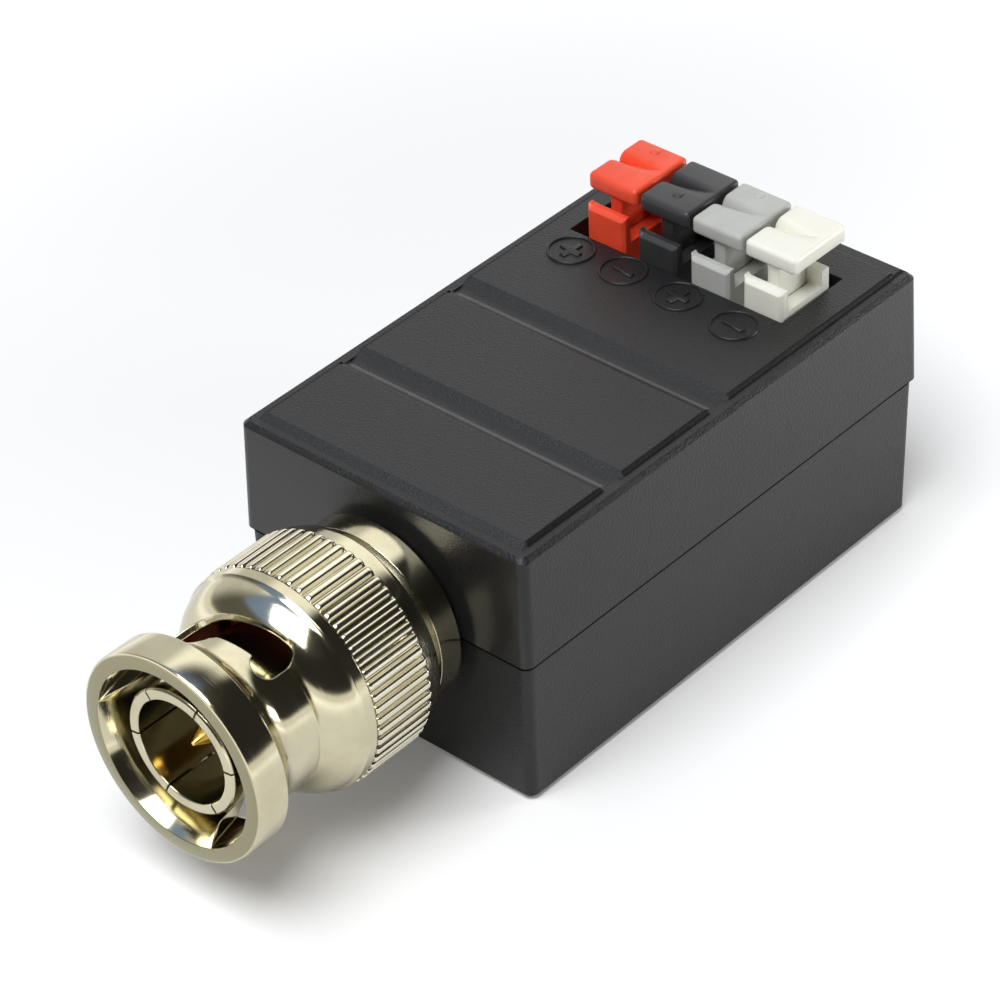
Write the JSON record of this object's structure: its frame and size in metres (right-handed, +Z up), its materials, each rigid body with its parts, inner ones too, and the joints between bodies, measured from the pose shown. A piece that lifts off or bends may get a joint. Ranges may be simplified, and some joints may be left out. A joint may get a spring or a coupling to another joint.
{
  "type": "video balun",
  "caption": "Twisted-pair video balun: bayonet coaxial plug on a small two-part housing, with coloured push-lever clamps for bare wires on top.",
  "frame": {"origin": "centre of the housing's flat base", "axes": "+X across the housing from the red clamp to the white one, +Y from the plug to the clamps' wire entries, +Z up, from the base to the levers"},
  "size_m": [0.0216, 0.0533, 0.0216],
  "materials": {
    "housing_plastic": "fine spark-eroded grain, matt",
    "board_laminate": "solder resist, satin",
    "ferrite": "sintered, matt",
    "copper_wire": "enamelled",
    "arrester_ceramic": "glazed",
    "capacitor_case": "dipped",
    "resistor_ceramic": "matt with tinned ends",
    "nickel_plate": "bright nickel",
    "white_insulation": "waxy",
    "gold_plate": "bright gold",
    "red_silicone": "satin",
    "spring_steel": "satin",
    "tinned_copper": "dull tin",
    "red_plastic": "moulded, satin gloss",
    "black_plastic": "moulded, satin gloss",
    "grey_plastic": "moulded, satin gloss",
    "white_plastic": "moulded, satin gloss"
  },
  "bodies": {
    "housing": {"upper_shell": "housing_plastic", "lower_shell": "housing_plastic", "circuit_board": "board_laminate", "transformer_core": "ferrite", "primary_winding": "copper_wire", "secondary_winding": "copper_wire", "surge_arrester": "arrester_ceramic", "film_capacitors": "capacitor_case", "chip_resistors": "resistor_ceramic", "connector_body": "nickel_plate", "outer_contact": "nickel_plate", "insulator": "white_insulation", "centre_pin": "gold_plate", "gasket": "red_silicone", "thrust_washer": "spring_steel", "clamp_base_red": "red_plastic", "clamp_spring_red": "spring_steel", "contact_bar_red": "tinned_copper", "clamp_base_black": "black_plastic", "clamp_spring_black": "spring_steel", "contact_bar_black": "tinned_copper", "clamp_base_grey": "grey_plastic", "clamp_spring_grey": "spring_steel", "contact_bar_grey": "tinned_copper", "clamp_base_white": "white_plastic", "clamp_spring_white": "spring_steel", "contact_bar_white": "tinned_copper"},
    "spring_washer": {"wave_washer": "spring_steel"},
    "coupling": {"coupling_sleeve": "nickel_plate"},
    "lever_red": {"push_lever_red": "red_plastic"},
    "lever_black": {"push_lever_black": "black_plastic"},
    "lever_grey": {"push_lever_grey": "grey_plastic"},
    "lever_white": {"push_lever_white": "white_plastic"}
  },
  "joints": [
    {"name": "coupling_push", "type": "slide", "parent": "housing", "child": "spring_washer", "axis": [0, -1, 0], "range_m": [0, 0.0005], "stiffness_N_per_m": 8000, "springref_m": -0.0005, "deforming": ["wave_washer"]},
    {"name": "coupling_turn", "type": "hinge", "parent": "spring_washer", "child": "coupling", "pos_m": [0.0005, -0.02395, 0.0098], "axis": [0, -1, 0], "continuous": true},
    {"name": "lever_red_press", "type": "slide", "parent": "housing", "child": "lever_red", "axis": [0, 0, -1], "range_m": [0, 0.0013], "stiffness_N_per_m": 1500, "springref_m": -0.0007, "deforming": ["clamp_spring_red"]},
    {"name": "lever_black_press", "type": "slide", "parent": "housing", "child": "lever_black", "axis": [0, 0, -1], "range_m": [0, 0.0013], "stiffness_N_per_m": 1500, "springref_m": -0.0007, "deforming": ["clamp_spring_black"]},
    {"name": "lever_grey_press", "type": "slide", "parent": "housing", "child": "lever_grey", "axis": [0, 0, -1], "range_m": [0, 0.0013], "stiffness_N_per_m": 1500, "springref_m": -0.0007, "deforming": ["clamp_spring_grey"]},
    {"name": "lever_white_press", "type": "slide", "parent": "housing", "child": "lever_white", "axis": [0, 0, -1], "range_m": [0, 0.0013], "stiffness_N_per_m": 1500, "springref_m": -0.0007, "deforming": ["clamp_spring_white"]}
  ]
}
